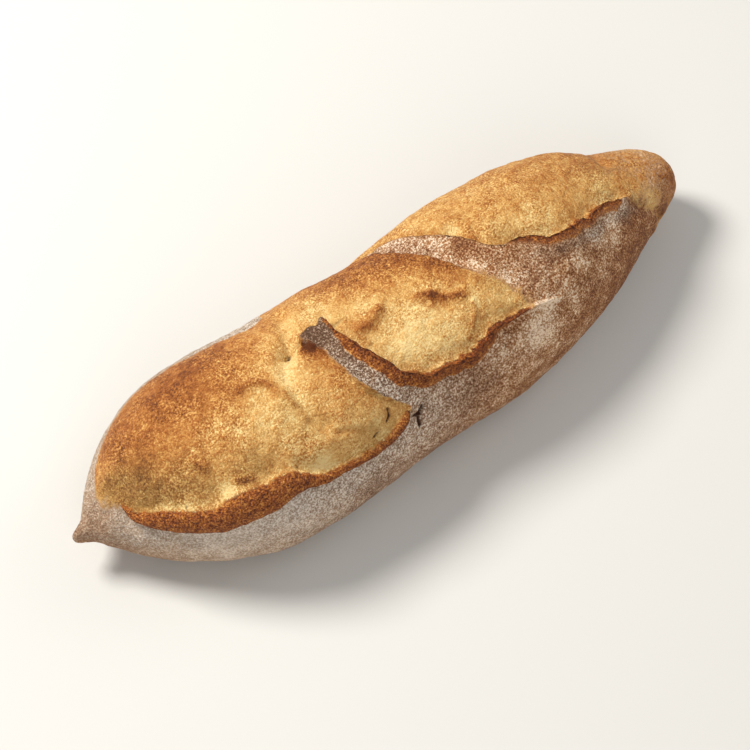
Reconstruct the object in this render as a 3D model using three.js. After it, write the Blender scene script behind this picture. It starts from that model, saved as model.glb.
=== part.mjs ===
// A batard loaf: one closed skin of crust, about 300 mm long, with three slashes along its top that
// have burst open into blooms. Millimetres, +Z up. The loaf lies along X with its pointed end at -X
// and its round end at +X. The near side is -Y. A place on the skin is its length along X and its
// section angle in degrees: 0 on the near side, 90 on the crown, 180 on the far side, -90 beneath.

import * as THREE from "three";

// ---------- Driving dimensions ----------

const POINTED_END = -150;
const ROUND_END = 153.5;
const WAIST_SHARE = 0.42; // height of the widest level, as a share of the loaf's height
const CROWN_POWER = 2.15; // superellipse power above the waist
const BASE_POWER = 3.0; // and below it, where the loaf has settled on the oven floor

// The plain body before it bursts: length, half width, centre y, crown z, underside z.
// The underside runs below z = 0, where the oven floor has pressed it flat.
const BODY = [
  [-150.0, 0.0, 6.2, 20.0, 20.0],
  [-148.5, 1.9, 6.2, 23.5, 16.5],
  [-144.0, 4.6, 5.9, 25.5, 15.5],
  [-138.0, 12.0, 5.7, 30.0, 13.0],
  [-129.0, 21.5, 4.7, 39.0, 8.0],
  [-116.0, 31.3, 3.1, 49.5, 2.5],
  [-99.0, 39.7, 0.8, 58.0, -1.0],
  [-76.0, 44.6, -3.2, 64.0, -2.0],
  [-40.0, 43.3, -5.2, 65.5, -2.0],
  [0.0, 40.6, -5.2, 63.5, -2.0],
  [38.0, 42.8, -3.8, 64.0, -2.0],
  [72.0, 39.5, -1.0, 62.0, -2.0],
  [100.0, 33.3, 1.5, 54.5, -1.0],
  [124.0, 22.6, 2.2, 44.5, 2.5],
  [141.0, 15.5, 2.4, 37.5, 7.0],
  [150.5, 9.0, 0.8, 31.5, 12.5],
  [153.5, 0.0, 0.5, 22.5, 22.5],
];

// Grid of the faceted skin: rings along the loaf, points around each ring.
const RINGS = 96;
const POINTS_AROUND = 54;
const DETAIL_FROM = -32; // section angles of the side with the slashes, which gets
const DETAIL_TO = 165; // most of the points
const DETAIL_SHARE = 0.72;

// ---------- Lines on the skin: [length along X, section angle] ----------

const RIM_1 = [
  [-130.5, 78], [-129.4, 63.5], [-126.5, 48], [-119, 33.5], [-108, 26], [-96.5, 26], [-84.5, 29.3],
  [-74, 33], [-68.5, 32], [-62, 29], [-51, 28], [-40, 25.8], [-32, 25.6], [-24, 28.3], [-19, 32],
  [-16, 36],
];
const FAR_EDGE_1 = [
  [-130.5, 78], [-134.5, 87], [-135.6, 100], [-133.6, 116], [-129, 134], [-121, 143], [-106, 148],
  [-90, 145], [-78, 141], [-66, 140.5], [-54, 136], [-45, 134.5], [-38, 145], [-29, 157], [-18, 165],
];
const STRAP_LOWER_EDGE = [
  [-40, 100], [-38, 96.2], [-36, 92], [-34.6, 86], [-33.8, 78], [-32, 69], [-29, 60.5],
  [-24, 51], [-20.5, 45], [-18, 41], [-16, 36],
];
const CREST_2 = [
  [-26.2, 103], [-27.4, 97], [-26.5, 90], [-23.5, 81.4], [-21, 75.4], [-17.4, 67.7], [-15.6, 62],
  [-13.8, 57], [-9, 53.4], [-4.5, 47.4], [2, 46.2], [8.5, 44.6], [16, 43.5], [20, 43.9], [25.5, 47.4],
  [29.5, 49.7], [37, 48.1], [44.5, 47.5], [53.5, 44], [63, 39],
];
const FAR_EDGE_2 = [
  [-18, 165], [-8, 152], [1, 143], [8, 138], [12.5, 130], [20.4, 114], [26, 103.4], [32.5, 89],
  [38, 80], [43.7, 70], [48.5, 57], [50.5, 46.8],
];
const CREST_3 = [
  [-2, 163], [5, 150], [11, 140.5], [18, 133], [24.5, 124], [31.7, 113], [38.5, 104], [43, 95.5],
  [46.5, 88.8], [51.7, 83.8], [58, 81.9], [63.6, 79], [68, 74], [73.5, 70.8], [79, 68.4], [86, 68.2],
  [89.5, 69], [91.5, 65.6], [99, 67.4], [105.6, 68.6], [108.5, 65], [117, 63.4], [121.5, 59],
];
const TIP_3 = [[124.5, 70], [123, 85], [121.5, 105], [123, 128], [118, 158]];
const FAR_EDGE_3 = [
  [112, 164], [103, 168], [92, 161], [79, 169], [65, 162], [51, 171], [37, 164], [22, 170], [8, 165],
];
const CREASE_3 = [[121, 58], [122, 51.5], [124.5, 41.5], [132, 22.5], [136, -4], [138, -34]];

// The strap tapers from its torn free end into the skin between the first two slashes.
const TORN_END = [[-28, 103.6], [-30.8, 100.8], [-34, 101.6], [-37.6, 101]];
const STRAP_ROOT = [[-14, 43], [-6, 46]];
const CREST_ALONG_STRAP = CREST_2.slice(0, 9);
const CREST_ALONG_BLOOM = CREST_2.slice(0, 18);
const STRAP_OUTLINE = [
  ...STRAP_LOWER_EDGE.slice(0, -2), ...STRAP_ROOT, ...CREST_ALONG_STRAP.toReversed(), ...TORN_END,
];
const BLOOM_1_AND_2 = [
  ...RIM_1.slice(0, -1), ...STRAP_LOWER_EDGE.toReversed(), ...TORN_END.toReversed(),
  ...CREST_ALONG_BLOOM, ...FAR_EDGE_2.toReversed(), ...FAR_EDGE_1.slice(1, -1).reverse(),
];
const BLOOM_3 = [...CREST_3, ...TIP_3, ...FAR_EDGE_3];

// ---------- Relief ----------

// A lip is a torn edge. Its profile gives the height at a distance from the line, positive on the
// bloom's side. Its spread scales the distances on one side, by place along the line from 0 to 1.
const LIPS = [
  {
    line: RIM_1,
    profile: [
      [-30, 0], [-13, -0.3], [-6, -1.0], [-0.9, -1.6], [0, 1.0], [1.5, 2.6], [4.0, 3.4],
      [7.0, 3.0], [9.5, 1.2], [11.5, -0.9], [15, -1.5], [20, -1.2], [34, 0],
    ],
    spread: [
      [0, 0.12], [0.07, 0.3], [0.14, 0.7], [0.22, 0.95], [0.32, 1], [0.4, 1.3], [0.49, 1.2],
      [0.57, 0.85], [0.61, 0.45], [0.67, 0.27], [0.8, 0.28], [0.92, 0.33], [1, 0.2],
    ],
    spreadSide: 1,
    lowest: 0.45,
    fadeIn: 0.06,
    fadeOut: 0.05,
    overhang: -1.3,
  },
  {
    line: CREST_2,
    profile: [
      [-30, 0], [-16, -0.3], [-9, -0.9], [-4.8, -0.9], [-2.4, 1.3], [0, 3.0], [0.9, -0.9],
      [3.0, -1.3], [8, -0.8], [20, 0],
    ],
    spread: [
      [0, 0.3], [0.08, 0.45], [0.16, 0.9], [0.3, 1], [0.6, 1], [0.7, 0.7], [0.8, 0.3], [1, 0.2],
    ],
    spreadSide: -1,
    fadeIn: 0.03,
    fadeOut: 0.26,
    overhang: 0.6,
    strapShare: 0.7,
  },
  {
    line: FAR_EDGE_2,
    profile: [[-20, 0], [-9, 1.2], [-3, 1.4], [0, 0.9], [0.9, -0.7], [4, -0.5], [9, 0], [20, 0]],
    fadeIn: 0.25,
    fadeOut: 0.5,
    overhang: 0.5,
  },
  {
    line: CREST_3,
    profile: [
      [-30, 0], [-16, 0], [-8, 0.5], [-4, 1.7], [0, 3.0], [0.9, -0.9], [3.0, -1.5], [9, -0.9],
      [22, 0],
    ],
    fadeIn: 0.25,
    fadeOut: 0.06,
    overhang: 1.0,
  },
];
const LEAST_SPREAD = 0.12;
const OVERHANG_REACH = 2.0; // how far back from its edge a lip leans out
const EDGE_LEEWAY = 0.3; // and how far past the edge

// The strap is a ribbon of skin that stands above bloom 1, highest at its torn free end.
const STRAP_RISE = [[0, 5.2], [0.2, 4.2], [0.6, 3.2], [0.85, 1.4], [1, 0]];
const STRAP_EDGE = 0.9; // width of its steep side

const BLOOM_RISE = 2.4; // how far each bloom swells above the plain body
const BLOOM_12_SHOULDER = 24; // and how far in from its edge it takes to get there
const BLOOM_3_SHOULDER = 22;

// Swellings and furrows along a line: points, height, half width.
const FOLDS = [
  { line: [[-17, 89.5], [-13, 89.4], [-9.5, 91], [-5, 92.5]], height: 2.0, halfWidth: 2.2 },
  { line: [[10, 87.8], [15.5, 84.5], [19, 79.5], [25.5, 74.8]], height: 1.5, halfWidth: 1.9 },
  {
    line: [[-71, 92.5], [-66, 93.8], [-61.5, 90], [-59.3, 83.6], [-57.5, 74], [-57, 66]],
    height: 1.4,
    halfWidth: 1.7,
  },
  { line: [[-101.5, 73], [-98.5, 67.5]], height: 1.0, halfWidth: 1.5 },
  {
    line: [[-37, 124], [-43, 103], [-51, 92], [-53.5, 82], [-55, 70], [-52, 58]],
    height: -1.9,
    halfWidth: 3.4,
  },
  { line: [[41, 117], [45, 117.5], [47.5, 112], [47, 104], [46, 96]], height: 0.9, halfWidth: 1.8 },
  { line: [[124, 134], [121.3, 112], [121.3, 101]], height: -1.2, halfWidth: 2.6 },
];

// Dimples and swellings around a point: length, section angle, radius, height.
const DIMPLES = [
  [-63, 85, 5.0, -1.3],
  [-46.5, 98.5, 3.0, -2.2],
  [-66, 41, 5.5, -1.0],
  [3, 73, 15.0, -1.8],
  [43, 106, 6.0, -2.0],
  [-6, 82, 6.0, -1.4],
  [18, 76, 5.0, -1.0],
  [-37, 68, 13.0, 1.8],
];

// The crease that runs down from the tip of ear 3 and pinches off the round end.
const CREASE_DEPTH = 1.6;
const CREASE_HALF_WIDTH = 2.2;
const CREASE_SHOULDER = { height: 0.9, away: 4, halfWidth: 3 };

// ---------- Small helpers ----------

const clamp = THREE.MathUtils.clamp;
const ramp = THREE.MathUtils.smoothstep;
const bell = (distance, halfWidth) => Math.exp(-((distance / halfWidth) ** 2));
const easeOut = (share) => 1 - (1 - clamp(share, 0, 1)) ** 2;
const fadeAtEnds = (place, first, last) => ramp(place, 0, first) * ramp(1 - place, 0, last);

// Slopes at the knots of a monotone cubic, so that it never overshoots its rows.
function knotSlopes(xs, ys) {
  const slopes = xs.slice(1).map((x, i) => (ys[i + 1] - ys[i]) / (x - xs[i]));
  return xs.map((x, i) => {
    if (i === 0) return slopes[0];
    if (i === xs.length - 1) return slopes[i - 1];
    const [before, after] = [slopes[i - 1], slopes[i]];
    if (before * after <= 0) return 0;
    const [left, right] = [x - xs[i - 1], xs[i + 1] - x];
    const [a, b] = [2 * right + left, right + 2 * left];
    return (a + b) / (a / before + b / after);
  });
}

// A smooth function through rows of [x, value].
function smoothTable(rows) {
  const xs = rows.map((row) => row[0]);
  const ys = rows.map((row) => row[1]);
  const slopes = knotSlopes(xs, ys);
  return (x) => {
    const q = clamp(x, xs[0], xs.at(-1));
    let i = 0;
    while (i < xs.length - 2 && q >= xs[i + 1]) i += 1;
    const step = xs[i + 1] - xs[i];
    const t = (q - xs[i]) / step;
    const s = 1 - t;
    return (
      ys[i] * (1 + 2 * t) * s * s + slopes[i] * step * t * s * s
      + ys[i + 1] * (1 + 2 * s) * t * t - slopes[i + 1] * step * s * t * t
    );
  };
}

// ---------- The plain body ----------

const MIDDLE = (POINTED_END + ROUND_END) / 2;
const HALF_LENGTH = (ROUND_END - POINTED_END) / 2;

// 0 at the pointed end, 1 at the round end. It grows fast near both, so that they come out round.
const lengthwise = (x) => Math.acos(clamp((MIDDLE - x) / HALF_LENGTH, -1, 1)) / Math.PI;

const [halfWidthAt, centreAt, crownAt, undersideAt] = [1, 2, 3, 4].map((column) =>
  smoothTable(BODY.map((row) => [lengthwise(row[0]), row[column]])),
);

const signedPower = (value, power) => Math.sign(value) * Math.abs(value) ** power;

function skinPoint(x, angle) {
  const u = lengthwise(x);
  const crown = crownAt(u);
  const underside = undersideAt(u);
  const waist = underside + WAIST_SHARE * (crown - underside);
  const cos = Math.cos(THREE.MathUtils.degToRad(angle));
  const sin = Math.sin(THREE.MathUtils.degToRad(angle));
  const power = 2 / (sin >= 0 ? CROWN_POWER : BASE_POWER);
  const rise = sin >= 0 ? crown - waist : waist - underside;
  const y = centreAt(u) - halfWidthAt(u) * signedPower(cos, power);
  const z = waist + rise * signedPower(sin, power);
  return new THREE.Vector3(x, y, z);
}

function skinNormal(x, angle) {
  const alongStep = 0.2;
  const aroundStep = 0.3;
  const margin = 0.01;
  const along = skinPoint(Math.min(x + alongStep, ROUND_END - margin), angle);
  along.sub(skinPoint(Math.max(x - alongStep, POINTED_END + margin), angle));
  const around = skinPoint(x, angle + aroundStep).sub(skinPoint(x, angle - aroundStep));
  return along.cross(around).normalize();
}

// ---------- Lines drawn on the body ----------

class SkinLine {
  constructor(places, closed = false) {
    const degreesToMm = 0.65; // so that both coordinates weigh about the same on the spline
    const sampleStep = 1.5;
    const knots = closed ? [...places, places[0]] : places;
    const curve = new THREE.CatmullRomCurve3(
      knots.map(([x, angle]) => new THREE.Vector3(x, angle * degreesToMm, 0)), false, "catmullrom", 0.5,
    );
    curve.arcLengthDivisions = 600;
    const samples = Math.max(2, Math.round(curve.getLength() / sampleStep));
    this.places = curve.getSpacedPoints(samples).map((p) => [p.x, p.y / degreesToMm]);
    this.points = this.places.map(([x, angle]) => skinPoint(x, angle));
    this.lengths = [0];
    for (let i = 1; i < this.points.length; i += 1) {
      this.lengths.push(this.lengths[i - 1] + this.points[i].distanceTo(this.points[i - 1]));
    }
  }

  // Signed distance from the line, place along it from 0 to 1, and the direction away from it.
  nearest(point, normal) {
    let best = Infinity;
    let segment = 0;
    let share = 0;
    const along = new THREE.Vector3();
    const offset = new THREE.Vector3();
    for (let i = 0; i < this.points.length - 1; i += 1) {
      along.subVectors(this.points[i + 1], this.points[i]);
      offset.subVectors(point, this.points[i]);
      const t = clamp(offset.dot(along) / along.lengthSq(), 0, 1);
      const gap = offset.addScaledVector(along, -t).lengthSq();
      if (gap < best) [best, segment, share] = [gap, i, t];
    }
    const foot = this.points[segment].clone().lerp(this.points[segment + 1], share);
    along.subVectors(this.points[segment + 1], this.points[segment]);
    offset.subVectors(point, foot);
    const side = along.cross(offset).dot(normal) < 0 ? -1 : 1;
    const length = THREE.MathUtils.lerp(this.lengths[segment], this.lengths[segment + 1], share);
    return {
      distance: side * Math.sqrt(best),
      place: length / this.lengths.at(-1),
      away: offset.normalize().multiplyScalar(side),
    };
  }

  encloses(x, angle) {
    let inside = false;
    for (let i = 0; i < this.places.length - 1; i += 1) {
      const [x0, a0] = this.places[i];
      const [x1, a1] = this.places[i + 1];
      const crosses = a0 > angle !== a1 > angle && x < x0 + ((x1 - x0) * (angle - a0)) / (a1 - a0);
      if (crosses) inside = !inside;
    }
    return inside;
  }

  // Distance in from a closed line, negative outside it.
  depthInside(site) {
    const gap = Math.abs(this.nearest(site.point, site.normal).distance);
    return this.encloses(site.x, site.angle) ? gap : -gap;
  }
}

const lips = LIPS.map((lip) => ({
  ...lip,
  curve: new SkinLine(lip.line),
  heightAt: smoothTable(lip.profile),
  spreadAt: smoothTable(lip.spread ?? [[0, 1], [1, 1]]),
}));
const strapOutline = new SkinLine(STRAP_OUTLINE, true);
const strapLowerEdge = new SkinLine(STRAP_LOWER_EDGE);
const strapFreeEdge = new SkinLine([CREST_2[0], ...TORN_END, ...STRAP_LOWER_EDGE]);
const strapRiseAt = smoothTable(STRAP_RISE);
const bloom12 = new SkinLine(BLOOM_1_AND_2, true);
const bloom3 = new SkinLine(BLOOM_3, true);
const crease = new SkinLine(CREASE_3);
const folds = FOLDS.map((fold) => ({ ...fold, curve: new SkinLine(fold.line) }));
const dimples = DIMPLES.map(([x, angle, radius, height]) => {
  return { centre: skinPoint(x, angle), radius, height };
});

// ---------- How far each place stands off the plain body ----------

// Height of one lip, and how far its edge leans out over what lies below it.
function lipRelief(lip, site, strapShare) {
  const { distance, place, away } = lip.curve.nearest(site.point, site.normal);
  const spread = lip.spreadAt(place);
  const spreads = distance * (lip.spreadSide ?? 0) > 0;
  const scaled = spreads ? distance / Math.max(spread, LEAST_SPREAD) : distance;
  const fade = fadeAtEnds(place, lip.fadeIn, lip.fadeOut);
  let height = lip.heightAt(scaled) * fade;
  const onBloom = lip.spreadSide > 0 && distance > -EDGE_LEEWAY;
  if (onBloom) height *= THREE.MathUtils.lerp(lip.lowest, 1, spread);
  const besideStrap = lip.strapShare && distance < EDGE_LEEWAY;
  if (besideStrap) height *= THREE.MathUtils.lerp(1, lip.strapShare, strapShare);
  const onEdge = Math.sign(lip.overhang) * distance < EDGE_LEEWAY;
  const lean = onEdge ? lip.overhang * bell(distance, OVERHANG_REACH) * fade : 0;
  return { height, lean: away.multiplyScalar(lean) };
}

function bloomRise(site) {
  const clearOfRim = ramp(Math.abs(lips[0].curve.nearest(site.point, site.normal).distance), 2, 14);
  const first = easeOut(bloom12.depthInside(site) / BLOOM_12_SHOULDER) * clearOfRim;
  const third = easeOut(bloom3.depthInside(site) / BLOOM_3_SHOULDER);
  return BLOOM_RISE * (first + third);
}

function creaseRise(site) {
  const { distance, place } = crease.nearest(site.point, site.normal);
  const furrow = CREASE_DEPTH * bell(distance, CREASE_HALF_WIDTH) * fadeAtEnds(place, 0.05, 0.35);
  const shoulder = CREASE_SHOULDER.height * bell(distance + CREASE_SHOULDER.away, CREASE_SHOULDER.halfWidth);
  return shoulder * fadeAtEnds(place, 0.1, 0.3) - furrow;
}

function smallRise(site) {
  let height = 0;
  for (const fold of folds) {
    const { distance } = fold.curve.nearest(site.point, site.normal);
    height += fold.height * bell(distance, fold.halfWidth);
  }
  for (const dimple of dimples) {
    height += dimple.height * bell(site.point.distanceTo(dimple.centre), dimple.radius);
  }
  return height;
}

// The crust's true point at a site on the plain body, and its height above that body.
function crustPoint(site) {
  const strapShare = ramp(strapOutline.depthInside(site), -STRAP_EDGE, 0);
  const strapPlace = strapLowerEdge.nearest(site.point, site.normal).place;
  let height = strapShare * strapRiseAt(strapPlace) + bloomRise(site) + creaseRise(site) + smallRise(site);
  const point = site.point.clone();
  for (const lip of lips) {
    const relief = lipRelief(lip, site, strapShare);
    height += relief.height;
    point.add(relief.lean);
  }
  point.addScaledVector(site.normal, height);
  point.z = Math.max(point.z, 0); // pressed flat by the oven floor
  return { point, height };
}

// ---------- The grid ----------

function ringAngles() {
  const fine = Math.round(POINTS_AROUND * DETAIL_SHARE);
  const coarse = POINTS_AROUND - fine;
  const angles = [];
  for (let i = 0; i < fine; i += 1) angles.push(DETAIL_FROM + ((DETAIL_TO - DETAIL_FROM) * i) / fine);
  for (let i = 0; i < coarse; i += 1) {
    angles.push(DETAIL_TO + ((DETAIL_FROM + 360 - DETAIL_TO) * i) / coarse);
  }
  return angles;
}

function ringLengths() {
  const evening = 0.05; // makes the rings nearly even along the middle of the loaf
  const lengths = [];
  for (let i = 1; i < RINGS; i += 1) {
    const u = i / RINGS + evening * Math.sin((2 * Math.PI * i) / RINGS);
    lengths.push(MIDDLE - HALF_LENGTH * Math.cos(Math.PI * u));
  }
  return lengths;
}

// Points near a torn edge are drawn onto it, and the next ones close beside it, so that the edge
// comes out as a clean line of facets and not as a staircase.
const sharpLines = [...lips.map((lip) => lip.curve), strapFreeEdge];
const GRID_CELL = 3.2;
const FOOT_GAP = 0.9;

function drawnDistance(distance) {
  const cells = Math.abs(distance) / GRID_CELL;
  if (cells < 0.5) return 0;
  if (cells < 1.5) return Math.sign(distance) * FOOT_GAP;
  if (cells > 3.5) return distance;
  const share = (cells - 1.5) / 2;
  return Math.sign(distance) * THREE.MathUtils.lerp(FOOT_GAP, 3.5 * GRID_CELL, share);
}

function drawToEdges(point, normal) {
  let closest = null;
  for (const line of sharpLines) {
    const found = line.nearest(point, normal);
    const beside = found.place > 0.004 && found.place < 0.996;
    if (beside && (!closest || Math.abs(found.distance) < Math.abs(closest.distance))) closest = found;
  }
  if (closest) point.addScaledVector(closest.away, drawnDistance(closest.distance) - closest.distance);
}

function makeSite(x, angle) {
  const point = skinPoint(x, angle);
  const normal = skinNormal(x, angle);
  drawToEdges(point, normal);
  return { x, angle, point, normal };
}

// Two triangles for one cell of the grid, split along the diagonal that follows a crest.
function cellTriangles(heights, a, b, c, d) {
  if (Math.abs(heights[a] - heights[c]) < Math.abs(heights[b] - heights[d])) return [a, b, c, a, c, d];
  return [a, b, d, b, c, d];
}

function loafGeometry() {
  const angles = ringAngles();
  const lengths = ringLengths();
  const sites = lengths.flatMap((x) => angles.map((angle) => crustPoint(makeSite(x, angle))));
  const heights = sites.map((site) => site.height);
  const positions = sites.flatMap((site) => site.point.toArray());
  const pointedTip = sites.length;
  const roundTip = pointedTip + 1;
  positions.push(...skinPoint(POINTED_END, 0).toArray(), ...skinPoint(ROUND_END, 0).toArray());

  const around = angles.length;
  const lastRing = (lengths.length - 1) * around;
  const indices = [];
  for (let j = 0; j < around; j += 1) {
    const next = (j + 1) % around;
    indices.push(pointedTip, j, next, roundTip, lastRing + next, lastRing + j);
    for (let i = 0; i < lengths.length - 1; i += 1) {
      const row = i * around;
      indices.push(...cellTriangles(heights, row + j, row + around + j, row + around + next, row + next));
    }
  }

  const geometry = new THREE.BufferGeometry();
  geometry.setAttribute("position", new THREE.Float32BufferAttribute(positions, 3));
  geometry.setIndex(indices);
  return geometry;
}

// The origin is under the middle of the loaf, on the surface that it lies on.
function settle(geometry) {
  geometry.computeBoundingBox();
  const centre = geometry.boundingBox.getCenter(new THREE.Vector3());
  geometry.translate(-centre.x, -centre.y, -geometry.boundingBox.min.z);
  geometry.computeVertexNormals();
  return geometry;
}

// ---------- Material and scene graph ----------

function crustMaterial() {
  return new THREE.MeshStandardMaterial({ color: 0xbf9466, roughness: 0.8, metalness: 0 });
}

const loaf = new THREE.Mesh(settle(loafGeometry()), crustMaterial());
loaf.name = "loaf";

const batard = new THREE.Group();
batard.add(loaf);

export default batard;
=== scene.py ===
"""A batard loaf: the fine crust over the solid loaf, its baked colours, and the studio round it.

The loaf lies along X with its pointed end at -X. A place on the crust is its length along X in
millimetres and its section angle in degrees: 0 on the near side (-Y), 90 on the crown, 180 on the
far side, -90 beneath. Shapes are worked out in millimetres and turned into metres at the end.
"""

import math

import bpy
import numpy as np
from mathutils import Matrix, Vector, noise


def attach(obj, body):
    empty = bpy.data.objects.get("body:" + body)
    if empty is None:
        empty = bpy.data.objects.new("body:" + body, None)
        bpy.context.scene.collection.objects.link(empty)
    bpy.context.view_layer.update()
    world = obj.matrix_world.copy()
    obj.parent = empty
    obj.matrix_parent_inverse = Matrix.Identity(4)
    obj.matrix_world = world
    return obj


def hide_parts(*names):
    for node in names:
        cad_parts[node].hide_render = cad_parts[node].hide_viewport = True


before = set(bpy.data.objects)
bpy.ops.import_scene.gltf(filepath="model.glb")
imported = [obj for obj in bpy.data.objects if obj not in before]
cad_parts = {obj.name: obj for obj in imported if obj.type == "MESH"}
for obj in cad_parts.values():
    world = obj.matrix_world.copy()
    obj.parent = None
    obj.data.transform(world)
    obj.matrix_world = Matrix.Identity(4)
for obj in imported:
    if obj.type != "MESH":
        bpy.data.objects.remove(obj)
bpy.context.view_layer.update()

# ---------- The plain body ----------

POINTED_END, ROUND_END = -150.0, 153.5
WAIST_SHARE = 0.42
CROWN_POWER, BASE_POWER = 2.15, 3.0

# Length, half width, centre y, crown z, underside z.
BODY = [
    (-150.0, 0.0, 6.2, 20.0, 20.0),
    (-148.5, 1.9, 6.2, 23.5, 16.5),
    (-144.0, 4.6, 5.9, 25.5, 15.5),
    (-138.0, 12.0, 5.7, 30.0, 13.0),
    (-129.0, 21.5, 4.7, 39.0, 8.0),
    (-116.0, 31.3, 3.1, 49.5, 2.5),
    (-99.0, 39.7, 0.8, 58.0, -1.0),
    (-76.0, 44.6, -3.2, 64.0, -2.0),
    (-40.0, 43.3, -5.2, 65.5, -2.0),
    (0.0, 40.6, -5.2, 63.5, -2.0),
    (38.0, 42.8, -3.8, 64.0, -2.0),
    (72.0, 39.5, -1.0, 62.0, -2.0),
    (100.0, 33.3, 1.5, 54.5, -1.0),
    (124.0, 22.6, 2.2, 44.5, 2.5),
    (141.0, 15.5, 2.4, 37.5, 7.0),
    (150.5, 9.0, 0.8, 31.5, 12.5),
    (153.5, 0.0, 0.5, 22.5, 22.5),
]

# Rings along the loaf, points around each ring, and where most of those points go.
RINGS, POINTS_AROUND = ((394, 244))
DETAIL_FROM, DETAIL_TO, DETAIL_SHARE = -40.0, 170.0, 0.76
DETAIL_ARC = 160.0  # about how many mm round the loaf that is
END_EASING = 0.05

# ---------- Lines on the crust: (length, section angle) ----------

RIM_1 = [
    (-130.5, 78), (-129.4, 63.5), (-126.5, 48), (-119, 33.5), (-108, 26), (-96.5, 26), (-84.5, 29.3),
    (-74, 33), (-68.5, 32), (-62, 29), (-51, 28), (-40, 25.8), (-32, 25.6), (-24, 28.3), (-19, 32), (-16, 36),
]
FAR_EDGE_1 = [
    (-130.5, 78), (-134.5, 87), (-135.6, 100), (-133.6, 116), (-129, 134), (-121, 143), (-106, 148),
    (-90, 145), (-78, 141), (-66, 140.5), (-54, 136), (-45, 134.5), (-38, 145), (-29, 157), (-18, 165),
]
STRAP_LOWER_EDGE = [
    (-40, 100), (-38, 96.2), (-36, 92), (-34.6, 86), (-33.8, 78), (-32, 69), (-29, 60.5),
    (-24, 51), (-20.5, 45), (-18, 41), (-16, 36),
]
CREST_2 = [
    (-26.2, 103), (-27.4, 97), (-26.5, 90), (-23.5, 81.4), (-21, 75.4), (-17.4, 67.7), (-15.6, 62),
    (-13.8, 57), (-9, 53.4), (-4.5, 47.4), (2, 46.2), (8.5, 44.6), (16, 43.5), (20, 43.9), (25.5, 47.4),
    (29.5, 49.7), (37, 48.1), (44.5, 47.5), (53.5, 44), (63, 39),
]
FAR_EDGE_2 = [
    (-18, 165), (-8, 152), (1, 143), (8, 138), (12.5, 130), (20.4, 114), (26, 103.4), (32.5, 89),
    (38, 80), (43.7, 70), (48.5, 57), (50.5, 46.8),
]
CREST_3 = [
    (-2, 163), (5, 150), (11, 140.5), (18, 133), (24.5, 124), (31.7, 113), (38.5, 104), (43, 95.5),
    (46.5, 88.8), (51.7, 83.8), (58, 81.9), (63.6, 79), (68, 74), (73.5, 70.8), (79, 68.4), (86, 68.2),
    (89.5, 69), (91.5, 65.6), (99, 67.4), (105.6, 68.6), (108.5, 65), (117, 63.4), (121.5, 59),
]
TIP_3 = [(124.5, 70), (123, 85), (121.5, 105), (123, 128), (118, 158)]
FAR_EDGE_3 = [
    (112, 164), (103, 168), (92, 161), (79, 169), (65, 162), (51, 171), (37, 164), (22, 170), (8, 165),
]
CREASE_3 = [(121, 58), (122, 51.5), (124.5, 41.5), (132, 22.5), (136, -4), (138, -34)]
ROUND_END_SKIN = [(146, -50), (156, -50), (156, 330), (141, 325), (128, 290), (118, 240), (112, 195)]

TORN_END = [(-28, 103.6), (-30.8, 100.8), (-34, 101.6), (-37.6, 101)]
STRAP_OUTLINE = STRAP_LOWER_EDGE[:-2] + [(-14, 43), (-6, 46)] + CREST_2[8::-1] + TORN_END
BLOOM_1_AND_2 = (
    RIM_1[:-1] + STRAP_LOWER_EDGE[::-1] + TORN_END[::-1] + CREST_2[:18] + FAR_EDGE_2[::-1]
    + FAR_EDGE_1[-2:0:-1]
)
BLOOM_3 = CREST_3 + TIP_3 + FAR_EDGE_3
ROUND_BULB = CREASE_3 + ROUND_END_SKIN + [(108, 160), (112, 128), (111, 105), (112, 85), (114, 70)]

# ---------- Relief ----------

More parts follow.
